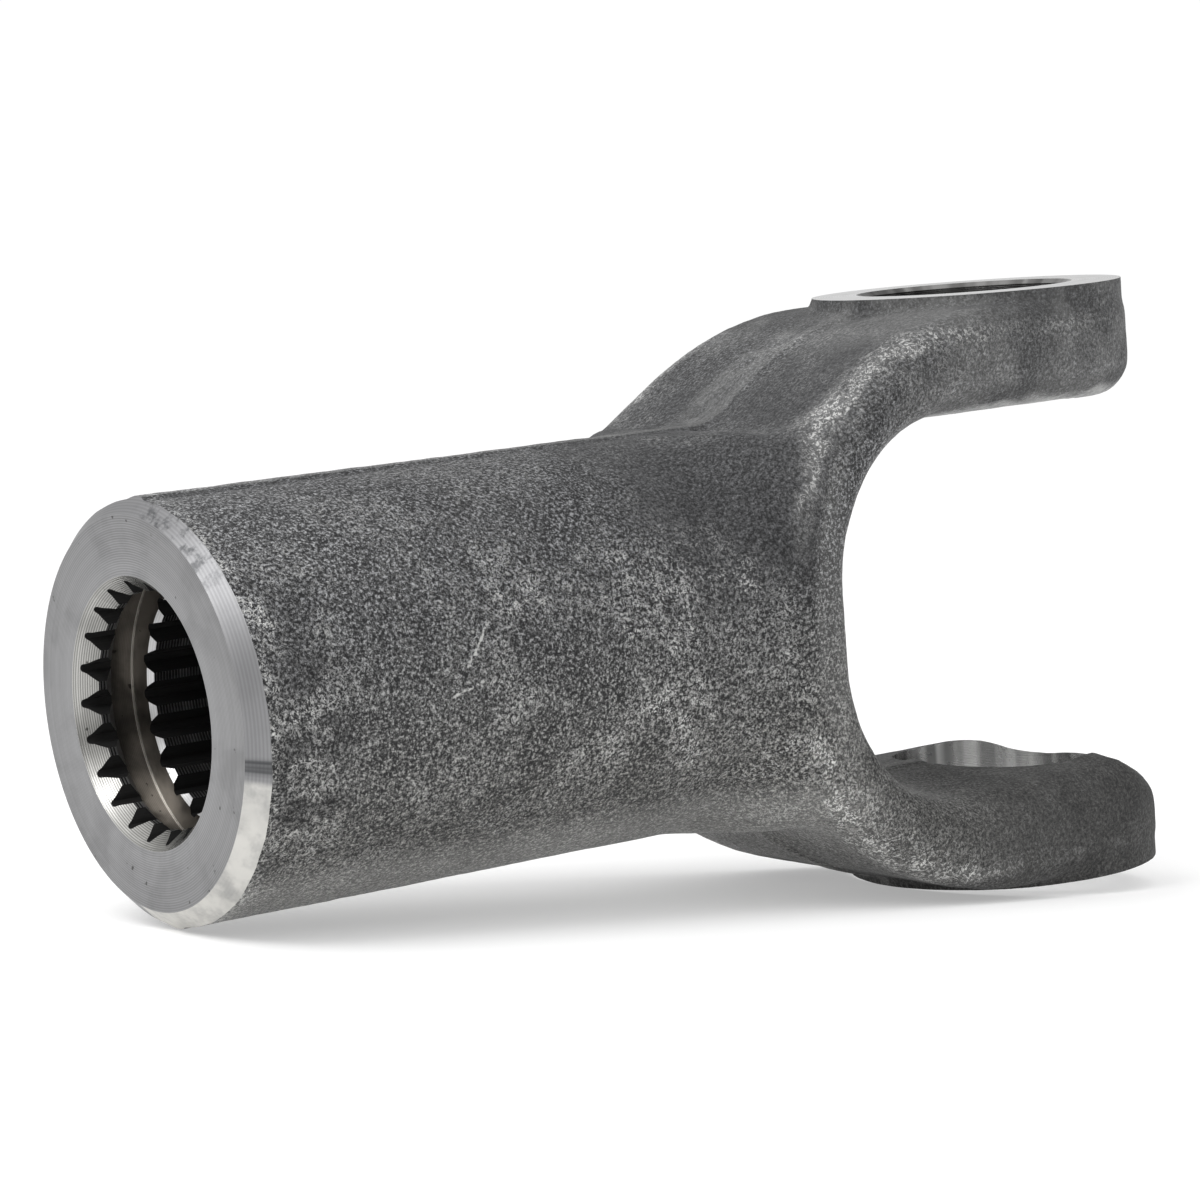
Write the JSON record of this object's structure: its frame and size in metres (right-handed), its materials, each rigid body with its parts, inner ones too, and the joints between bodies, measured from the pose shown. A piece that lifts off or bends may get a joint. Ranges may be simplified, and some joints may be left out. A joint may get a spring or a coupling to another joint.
{
  "type": "forged yoke",
  "caption": "Forged driveshaft slip yoke: a long hub with an internal involute spline, opening into two bored ears that carry the cross of a universal joint.",
  "frame": {"origin": "where the hub's axis crosses the axis of the two ear bores", "axes": "+X along the hub's axis from the splined end face to the fork, +Z along the ear bores, Y square to the forging's parting plane"},
  "size_m": [0.1654, 0.057, 0.085],
  "materials": {
    "forged_steel": "dark grey forging scale, machined bright at the end face, the bores and the ear pads"
  },
  "bodies": {
    "root": {"yoke": "forged_steel"}
  },
  "joints": []
}
